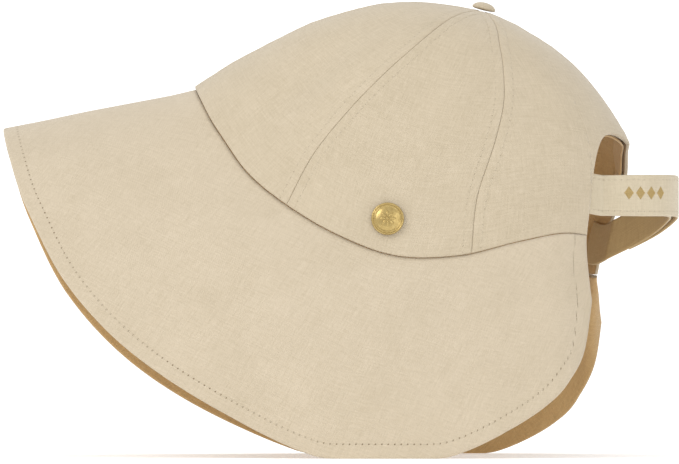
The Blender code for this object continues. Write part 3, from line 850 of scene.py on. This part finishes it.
def make_straps(looks, shaded_inside_looks):
    """The long strap from the left, the tab from the right and the fastening between."""
    across = edge_spacing(STRAP_WIDTH, CLOTH_STEP, (0.0, 0.00012, 0.0003, 0.0008))
    shares = across / STRAP_WIDTH - 0.5
    left = tucked_sections(1, STRAP_LEFT_ALONG, shares, TUCK_STEPS)
    right = tucked_sections(-1, STRAP_RIGHT_ALONG, shares, TUCK_STEPS)
    places = np.linspace(0, 1, STRAP_STEPS + 1)
    step = STRAP_WALL + CLOSURE_WALL + 2 * STRAP_GAP
    inner, middle, outer = (
        loop_sections(left[-1], right[-1], outward, shares, STRAP_STEPS)
        for outward in (0.0, step / 2, step)
    )
    outside = ease(places / STRAP_CROSSING)[:, None, None]
    long_part = (inner + (outer - inner) * outside)[places <= STRAP_END]
    long_part = np.concatenate([left[:-1], long_part])
    tab_part = np.concatenate([inner[places >= 1 - TAB_OVERLAP], right[-2::-1]])
    patch = middle[(places > CLOSURE_SPAN[0]) & (places < CLOSURE_SPAN[1])]
    centres = patch.mean(axis=1, keepdims=True)
    patch = centres + (patch - centres) * CLOSURE_WIDTH / STRAP_WIDTH
    finish = (STRAP_WALL, looks, "linen", STRAP_GROOVE)
    long_strap = band("strap_cloth", "strap", long_part, *finish)
    tab = band("tab_cloth", "strap_tab", tab_part, *finish)
    band("fastening_tape", "closure_patch", patch, CLOSURE_WALL, shaded_inside_looks, "linen_inside")
    return long_strap, tab


def strap_rows(top, edge):
    """Rows of stitches beside both edges of the strap."""
    data = (top, grid_normals(top), edge)
    sides = ([values[:, ::flip] for values in data] for flip in (1, -1))
    return [iso_line(*side, STRAP_DISTANCE, True) for side in sides]


def make_lozenges(top, look):
    """A row of small lozenges in gold satin stitch on the outside of the strap."""
    normals = grid_normals(top)
    run = run_lengths(top[:, top.shape[1] // 2])
    across = run_lengths(top[len(top) // 4])
    middle = across[-1] * LOZENGE_UP
    half_thread = LOZENGE_WIDTH / LOZENGE_THREADS * LOZENGE_FILL
    shape = bmesh.new()

    def thread_ring(along, height, relief):
        """Four corners round a gold thread at a place on the strap."""
        i = np.interp(along, run, np.arange(len(run)))
        j = np.interp(middle + height, across, np.arange(len(across)))
        row, file = min(int(i), len(run) - 2), min(int(j), len(across) - 2)
        u, v = i - row, j - file
        cell = top[row : row + 2, file : file + 2]
        place = (cell[0, 0] * (1 - u) + cell[1, 0] * u) * (1 - v)
        place = place + (cell[0, 1] * (1 - u) + cell[1, 1] * u) * v
        side = unit(top[row + 1, file] - top[row, file]) * half_thread
        up, base = normals[row, file] * relief, normals[row, file] * LOZENGE_LIFT
        return [
            shape.verts.new(Vector(place + base + side * c + up * k))
            for c, k in ((-1, 0.1), (0, 1.0), (1, 0.1), (0, -0.6))
        ]

    for number in range(LOZENGE_COUNT * LOZENGE_THREADS):
        lozenge, thread_number = divmod(number, LOZENGE_THREADS)
        side = (thread_number + 0.5) / LOZENGE_THREADS * 2 - 1
        along = LOZENGE_START + lozenge * LOZENGE_STEP + side * LOZENGE_WIDTH / 2
        reach = LOZENGE_HEIGHT / 2 * (1 - abs(side))
        rings = []
        for height in np.linspace(-reach, reach, 7):
            relief = LOZENGE_RELIEF * math.sqrt(max(0.0, 1 - (height / reach) ** 2))
            rings.append(thread_ring(along, height, relief))
        for one, two in zip(rings, rings[1:]):
            for k, m in ((0, 1), (1, 2), (2, 3), (3, 0)):
                shape.faces.new([one[k], one[m], two[m], two[k]])
        shape.faces.new(rings[0][::-1])
        shape.faces.new(rings[-1])
    mesh = bpy.data.meshes.new("strap_lozenges")
    shape.to_mesh(mesh)
    shape.free()
    mesh.materials.append(look)
    faced_outwards(mesh)
    dressed(new_object("strap_lozenges", mesh))


def button_blank(name, vertices, radius, depth, base, rings):
    """A low disc whose top is inset in rings from its edge, and then rounded."""
    bpy.ops.object.select_all(action="DESELECT")
    bpy.ops.mesh.primitive_cylinder_add(vertices=vertices, radius=radius, depth=depth)
    obj = bpy.context.object
    obj.name = obj.data.name = name
    obj.data.transform(Matrix.Translation((0, 0, depth / 2 + base)))
    bpy.ops.object.mode_set(mode="EDIT")
    bpy.ops.mesh.select_mode(type="FACE")
    bpy.ops.mesh.select_all(action="DESELECT")
    shape = bmesh.from_edit_mesh(obj.data)
    for face in shape.faces:
        face.select_set(face.normal.z > 0.9)
    bmesh.update_edit_mesh(obj.data)
    for width, rise in rings:
        bpy.ops.mesh.inset(thickness=width, depth=rise)
    bpy.ops.object.mode_set(mode="OBJECT")
    rounding = obj.modifiers.new("rounding", "SUBSURF")
    rounding.levels = rounding.render_levels = 2
    bpy.ops.object.modifier_apply(modifier=rounding.name)
    return obj


def seated(obj, point, axis):
    """Moves a piece's mesh from the origin onto its place, facing along the axis."""
    turn = Vector((0, 0, 1)).rotation_difference(Vector(axis)).to_matrix().to_4x4()
    obj.data.transform(Matrix.Translation(Vector(point)) @ turn)
    obj.data.update()


def make_top_button(look):
    """Button covered in linen, gathered under its edge."""
    radius, depth = TOP_BUTTON_RADIUS * 0.9, TOP_BUTTON_HEIGHT * 0.35
    obj = button_blank("top_button_cloth", 24, radius, depth, BUTTON_LIFT, TOP_BUTTON_RINGS)
    for vertex in obj.data.vertices:
        share = min(math.hypot(vertex.co.x, vertex.co.y) / TOP_BUTTON_RADIUS, 1.0)
        angle = math.atan2(vertex.co.y, vertex.co.x)
        vertex.co.z += PLEAT_HEIGHT * math.cos(PLEAT_COUNT * angle) * share**4
    centre = crown_point(0.0, 0.0)
    seated(obj, centre, unit(tilted(0.0, 0.0, 1.0)))
    obj.data.materials.append(look)
    obj.data.shade_smooth()
    grain = obj.data.uv_layers.new(name="Grain")
    for loop in obj.data.loops:
        place = np.array(obj.data.vertices[loop.vertex_index].co) - centre
        grain.uv[loop.index].vector = (place[0], place[1])
    dressed(obj, "top_button")


def bead(size, segments, ring_count, placing):
    """A flattened ball of the side button's rosette."""
    bpy.ops.object.select_all(action="DESELECT")
    bpy.ops.mesh.primitive_uv_sphere_add(segments=segments, ring_count=ring_count, radius=1.0)
    obj = bpy.context.object
    obj.data.transform(placing @ Matrix.Diagonal((*size, 1)))
    return obj


def make_side_button(look):
    """Domed brass button with a double ring round a plain rosette."""
    depth = SIDE_BUTTON_HEIGHT * 0.5
    obj = button_blank("side_button_brass", 48, SIDE_BUTTON_RADIUS, depth, 0.0, SIDE_BUTTON_RINGS)
    top = max(v.co.z for v in obj.data.vertices)
    lying = Matrix.Translation((PETAL_REACH, 0, top - PETAL_SUNK)) @ Matrix.Rotation(PETAL_LEAN, 4, "Y")
    beads = [
        bead(PETAL_SIZE, 16, 8, Matrix.Rotation(2 * math.pi * k / PETAL_COUNT, 4, "Z") @ lying)
        for k in range(PETAL_COUNT)
    ]
    beads.append(bead(BEAD_SIZE, 20, 10, Matrix.Translation((0, 0, top))))
    for piece in (*beads, obj):
        piece.select_set(True)
    bpy.context.view_layer.objects.active = obj
    bpy.ops.object.join()
    point, normal, _ = crown_frame(SIDE_BUTTON_TURN, SIDE_BUTTON_ALONG)
    seated(obj, point + normal * BUTTON_LIFT, normal)
    obj.data.materials.append(look)
    obj.data.shade_smooth()
    dressed(obj, "side_button")


# ---------------------------------------------------------------- finishes


def linear(red, green, blue):
    """A colour given from 0 to 255 as seen, in the renderer's own values."""
    return tuple(
        (c / 255 / 12.92) if c / 255 <= 0.04045 else ((c / 255 + 0.055) / 1.055) ** 2.4
        for c in (red, green, blue)
    ) + (1.0,)


def new_group(name, inputs, outputs):
    """An empty node group with named inputs (name, kind, value) and numbers as outputs."""
    group = bpy.data.node_groups.new(name, "ShaderNodeTree")
    for label, kind, value in inputs:
        socket = group.interface.new_socket(label, in_out="INPUT", socket_type=f"NodeSocket{kind}")
        if value is not None:
            socket.default_value = value
    for label in outputs:
        group.interface.new_socket(label, in_out="OUTPUT", socket_type="NodeSocketFloat")
    return group, group.nodes.new("NodeGroupInput"), group.nodes.new("NodeGroupOutput")


class Maker:
    """Short calls that add and link nodes in one tree."""

    def __init__(self, tree):
        self.tree = tree

    def feed(self, socket, value):
        if isinstance(value, bpy.types.NodeSocket):
            self.tree.links.new(value, socket)
        elif value is not None:
            socket.default_value = value

    def math(self, operation, first, second=None, clamp=False):
        node = self.tree.nodes.new("ShaderNodeMath")
        node.operation, node.use_clamp = operation, clamp
        self.feed(node.inputs[0], first)
        self.feed(node.inputs[1], second)
        return node.outputs[0]

    def total(self, *parts):
        """Sum of values, each with its weight."""
        result = None
        for value, weight in parts:
            part = self.math("MULTIPLY", value, weight)
            result = part if result is None else self.math("ADD", result, part)
        return result

    def scaled(self, vector, scale):
        node = self.tree.nodes.new("ShaderNodeVectorMath")
        node.operation = "MULTIPLY"
        self.feed(node.inputs[0], vector)
        node.inputs[1].default_value = scale
        return node.outputs[0]

    def noise(self, vector, scale, detail=2.0, roughness=0.5):
        node = self.tree.nodes.new("ShaderNodeTexNoise")
        self.feed(node.inputs["Vector"], vector)
        self.feed(node.inputs["Scale"], scale)
        node.inputs["Detail"].default_value = detail
        node.inputs["Roughness"].default_value = roughness
        return node.outputs["Fac"]

    def split(self, vector):
        node = self.tree.nodes.new("ShaderNodeSeparateXYZ")
        self.feed(node.inputs[0], vector)
        return node.outputs

    def ranged(self, value, low, high, to_low=0.0, to_high=1.0):
        node = self.tree.nodes.new("ShaderNodeMapRange")
        self.feed(node.inputs["Value"], value)
        numbers = {"From Min": low, "From Max": high, "To Min": to_low, "To Max": to_high}
        for label, number in numbers.items():
            self.feed(node.inputs[label], number)
        return node.outputs["Result"]

    def mix(self, factor, one, two):
        node = self.tree.nodes.new("ShaderNodeMix")
        node.data_type = "RGBA"
        for label, value in (("Factor", factor), ("A", one), ("B", two)):
            self.feed(node.inputs[label], value)
        return node.outputs["Result"]

    def bump(self, height, distance, strength=1.0):
        node = self.tree.nodes.new("ShaderNodeBump")
        for label, value in (("Height", height), ("Distance", distance), ("Strength", strength)):
            self.feed(node.inputs[label], value)
        return node.outputs[0]

    def effect(self, group, label):
        """A node group that reads the piece's UV map of the same name as its input."""
        map_node = self.tree.nodes.new("ShaderNodeUVMap")
        map_node.uv_map = label
        node = self.tree.nodes.new("ShaderNodeGroup")
        node.node_tree = group
        self.feed(node.inputs[label], map_node.outputs[0])
        return node

    def place(self, kind="Object"):
        return self.tree.nodes.new("ShaderNodeTexCoord").outputs[kind]


def weave_group():
    """Plain linen weave: threads over and under, slubs both ways, and flecks."""
    group, start, end = new_group(
        "linen_weave",
        [("Grain", "Vector", None), ("Thread Pitch", "Float", THREAD_PITCH), ("Slubs", "Float", 1.0)],
        ["Tone", "Height"],
    )
    make = Maker(group)
    grain, step = start.outputs["Grain"], start.outputs["Thread Pitch"]
    # Threads that waver a little, then slubs and flecks that stretch along them
    waves = []
    for place, stretch in zip(make.split(grain), ((40, 260, 7), (260, 40, 0))):
        waver = make.noise(make.scaled(grain, stretch), 1.0, 1.0)
        count = make.math("ADD", make.math("DIVIDE", place, step), make.math("MULTIPLY", waver, 1.6))
        waves.append(make.math("SINE", make.math("MULTIPLY", count, math.pi)))
    over = make.math("MULTIPLY", *waves)
    threads = make.math("MULTIPLY", *(make.math("ABSOLUTE", wave) for wave in waves))
    slubs = make.math(
        "ADD",
        *(
            make.noise(make.scaled(grain, stretch), 1.0, 2.0, 0.6)
            for stretch in ((1500, 110, 3), (110, 1500, 9))
        ),
    )
    slubs = make.math("MULTIPLY", make.math("SUBTRACT", slubs, 1.0), start.outputs["Slubs"])
    fleck = make.math("SUBTRACT", make.noise(make.scaled(grain, (700, 700, 0)), 1.0, 3.0, 0.7), 0.5)
    cloud = make.math("SUBTRACT", make.noise(make.scaled(grain, (38, 38, 0)), 1.0, 2.0), 0.5)
    # The thread term makes the tone lighter on the tops of the threads and paints shade in the gaps
    # between them
    tone = make.total((slubs, 0.62), (fleck, 0.45), (cloud, 0.35), (over, 0.05), (threads, 0.10))
    make.feed(end.inputs["Tone"], make.math("ADD", tone, 0.47, clamp=True))
    make.feed(end.inputs["Height"], make.total((over, 0.25), (threads, 0.3), (slubs, 1.1)))
    return group


def needle_group():
    """Small holes that a needle left at even steps along a row beside an edge, as a mask for their
    painted shade and their dip.
    """
    numbers = (("Distance", HEM_DISTANCE), ("Pitch", STITCH_PITCH), ("Size", 0.0003))
    inputs = [("Run", "Vector", None)] + [(label, "Float", value) for label, value in numbers]
    group, start, end = new_group("needle_row", inputs, ["Holes"])
    make = Maker(group)
    along, depth, _ = make.split(start.outputs["Run"])
    pitch = start.outputs["Pitch"]
    cycle = make.math("FRACT", make.math("DIVIDE", along, pitch))
    gap = make.math("MULTIPLY", make.math("SUBTRACT", cycle, 0.5), pitch)
    off = make.math("SUBTRACT", depth, start.outputs["Distance"])
    squares = make.math("ADD", make.math("POWER", gap, 2.0), make.math("POWER", off, 2.0))
    away = make.math("DIVIDE", make.math("SQRT", squares), start.outputs["Size"])
    make.feed(end.inputs["Holes"], make.math("SUBTRACT", 1.6, away, clamp=True))
    return group


def new_material(name, **values):
    """A material, its shader with these values set, and the calls that add nodes to it."""
    material = bpy.data.materials.new(name)
    material.use_nodes = True
    shader = material.node_tree.nodes["Principled BSDF"]
    for label, value in values.items():
        shader.inputs[label.replace("_", " ")].default_value = value
    return material, shader.inputs, Maker(material.node_tree)


def linen(name, tones, groups, holes=None, slubs=1.0):
    """Linen cloth between two tones, with needle holes beside its edge if asked, sunk and painted dark
    with their shade.
    """
    weave, needle = groups
    material, sockets, make = new_material(name, Sheen_Weight=0.25, Sheen_Roughness=0.5)
    sockets["Specular IOR Level"].default_value = 0.2
    cloth = make.effect(weave, "Grain")
    cloth.inputs["Slubs"].default_value = slubs
    tone, height = cloth.outputs["Tone"], cloth.outputs["Height"]
    colour = make.mix(tone, *(linear(*seen) for seen in tones))
    if holes:
        row = make.effect(needle, "Run")
        row.inputs["Distance"].default_value, row.inputs["Size"].default_value, strength = holes
        # The needle holes are painted dark as the shade inside them, and sunk
        pricked = row.outputs["Holes"]
        colour = make.mix(make.math("MULTIPLY", pricked, strength), colour, linear(*NEEDLE_HOLE_SHADE))
        height = make.math("SUBTRACT", height, make.math("MULTIPLY", pricked, 1.5))
    make.feed(sockets["Base Color"], colour)
    make.feed(sockets["Roughness"], make.ranged(tone, 0.0, 1.0, 0.96, 0.84))
    make.feed(sockets["Normal"], make.bump(height, 0.00022, 0.55))
    return material


def thread(name, colour):
    """Sewing thread, a little smoother than the cloth, with its twist."""
    material, sockets, make = new_material(name)
    fibres = make.noise(make.place(), 4200.0, 2.0, 0.6)
    light = linear(*colour)
    dark = tuple(c * 0.82 for c in light[:3]) + (1.0,)
    make.feed(sockets["Base Color"], make.mix(fibres, dark, light))
    make.feed(sockets["Roughness"], make.ranged(fibres, 0.3, 0.7, 0.7, 0.5))
    make.feed(sockets["Normal"], make.bump(fibres, 0.00008))
    return material


def brass():
    """Polished brass with soft wear and darker tarnish in patches."""
    material, sockets, make = new_material("brass", Metallic=1.0)
    worn = make.noise(make.place(), 900.0, 3.0, 0.6)
    fine = make.noise(make.place(), 5200.0, 2.0, 0.6)
    make.feed(sockets["Base Color"], make.mix(worn, *(linear(*seen) for seen in BRASS_TONES)))
    make.feed(sockets["Roughness"], make.ranged(worn, 0.3, 0.7, 0.34, 0.22))
    make.feed(sockets["Normal"], make.bump(fine, 0.00002, 0.4))
    return material


# ---------------------------------------------------------------- studio


def lamp(name, place, size, power, colour):
    """A round soft light that shines on the bonnet."""
    light = bpy.data.lights.new(name, "AREA")
    light.shape, light.size, light.energy, light.color = "DISK", size, power, colour
    obj = bpy.data.objects.new(name, light)
    bpy.context.scene.collection.objects.link(obj)
    obj.location = place
    obj.rotation_euler = (Vector(LIT_PLACE) - Vector(place)).to_track_quat("-Z", "Y").to_euler()


def studio():
    """Pale floor, soft light and the camera at the photograph's angle."""
    scene = bpy.context.scene
    floor_look, sockets, make = new_material("pale_floor", Roughness=0.9, Emission_Strength=0.35)
    sockets["Emission Color"].default_value = (1, 1, 1, 1)
    sockets["Specular IOR Level"].default_value = 0.0
    tones = ((0.90, 0.90, 0.90, 1), (0.93, 0.93, 0.93, 1))
    make.feed(sockets["Base Color"], make.mix(make.noise(make.place(), 3.0), *tones))
    bpy.ops.object.select_all(action="DESELECT")
    bpy.ops.mesh.primitive_plane_add(size=60.0, location=(0, 0, 0))
    floor = bpy.context.object
    floor.name = "pale_floor"
    floor.data.materials.append(floor_look)

    world = bpy.data.worlds.new("soft_box")
    scene.world = world
    world.use_nodes = True
    tree = world.node_tree
    background = tree.nodes["Background"]
    make = Maker(tree)
    _, ahead, up = make.split(make.place("Generated"))
    level = make.math("ADD", make.ranged(up, -0.4, 0.9, 0.72, 1.05), make.math("MULTIPLY", ahead, -0.10))
    seen = tree.nodes.new("ShaderNodeLightPath").outputs["Is Camera Ray"]
    background.inputs["Color"].default_value = (1, 1, 1, 1)
    strength = make.math("ADD", level, make.math("MULTIPLY", seen, 0.6))
    make.feed(background.inputs["Strength"], strength)
    lamp("key", (1.6, -1.5, 1.7), 1.2, 16.0, (1.0, 0.99, 0.97))
    lamp("fill", (2.2, 1.0, 0.9), 1.6, 6.0, (0.98, 0.99, 1.0))

    camera_data = bpy.data.cameras.new("camera")
    camera_data.type = "PERSP"
    camera_data.sensor_width, camera_data.lens = SENSOR, LENS
    camera_data.clip_start, camera_data.clip_end = 0.1, 60.0
    camera = bpy.data.objects.new("camera", camera_data)
    scene.collection.objects.link(camera)
    away = VIEW_WIDTH * LENS / SENSOR + SCALE_PLANE
    camera.location = (away, VIEW_CENTRE[1], VIEW_CENTRE[2])
    camera.rotation_euler = (math.pi / 2, 0, math.pi / 2)
    scene.camera = camera
    scene.view_settings.view_transform = "Standard"
    scene.view_settings.look = "None"


# ---------------------------------------------------------------- the bonnet

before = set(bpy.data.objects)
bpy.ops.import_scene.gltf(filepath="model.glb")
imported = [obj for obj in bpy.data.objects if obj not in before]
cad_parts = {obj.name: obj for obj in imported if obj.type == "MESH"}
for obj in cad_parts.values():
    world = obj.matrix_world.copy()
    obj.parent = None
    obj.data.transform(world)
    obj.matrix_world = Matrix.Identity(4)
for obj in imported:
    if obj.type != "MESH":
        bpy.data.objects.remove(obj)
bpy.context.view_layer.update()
bpy.ops.object.select_all(action="DESELECT")
studio()

groups = (weave_group(), needle_group())
crown_linen = linen("crown_linen", CROWN_TONES, groups, SEAM_HOLES)
brim_linen = linen("brim_linen", BRIM_TONES, groups, HEM_HOLES)
# Inner skins, facing tape and fastening: the linen painted in the shade inside the bonnet
inside_linen_in_shade = linen("inside_linen_in_shade", SHADED_INSIDE_TONES, groups)
# Inside of the strap: the strap's linen painted in shade
strap_inside_in_shade = linen("strap_inside_in_shade", STRAP_SHADED_INSIDE_TONES, groups)
strap_linen = linen("strap_linen", STRAP_TONES, groups, STRAP_HOLES)
covered_linen = linen("covered_linen", CROWN_TONES, groups, slubs=0.7)
cream_thread = thread("cream_thread", CREAM_TONE)

template = stitch_template()
seam_lines, arch_lines = [], []
for side, sign in (("left", 1), ("right", -1)):
    opening = float(opening_turn(sign))
    beside_seam = BACK_SEAM_TURN + SEAM_STEPS
    below_arch = np.linspace(BACK_SEAM_TURN + 1.0, opening - 0.5, BACK_TURNS)
    full_height = np.concatenate([beside_seam, below_arch])
    parts = {
        "front": panel_turns(0.0, FRONT_SEAM_TURN, FRONT_TURNS),
        "side": panel_turns(FRONT_SEAM_TURN, BACK_SEAM_TURN, SIDE_TURNS),
        "back": np.concatenate([full_height, np.abs(arch_turns(sign, ARCH_TURNS))]),
    }
    for part, turns in parts.items():
        skin, lines = crown_panel(f"crown_{part}_{side}", turns, sign, [crown_linen, inside_linen_in_shade])
        seam_lines += lines
    arch_lines += arch_rows(skin, len(full_height))
stitches("crown_stitches", seam_lines, cream_thread, template)
stitches("arch_stitches", arch_lines, cream_thread, template)

stitches("brim_stitches", make_brim([brim_linen, inside_linen_in_shade]), cream_thread, template)
make_facing([inside_linen_in_shade])
long_strap, tab = make_straps([strap_linen, strap_inside_in_shade], [inside_linen_in_shade])
stitches("strap_stitches", strap_rows(*long_strap) + strap_rows(*tab), cream_thread, template)
make_lozenges(long_strap[0], thread("gold_thread", GOLD_TONE))
make_top_button(covered_linen)
make_side_button(brass())
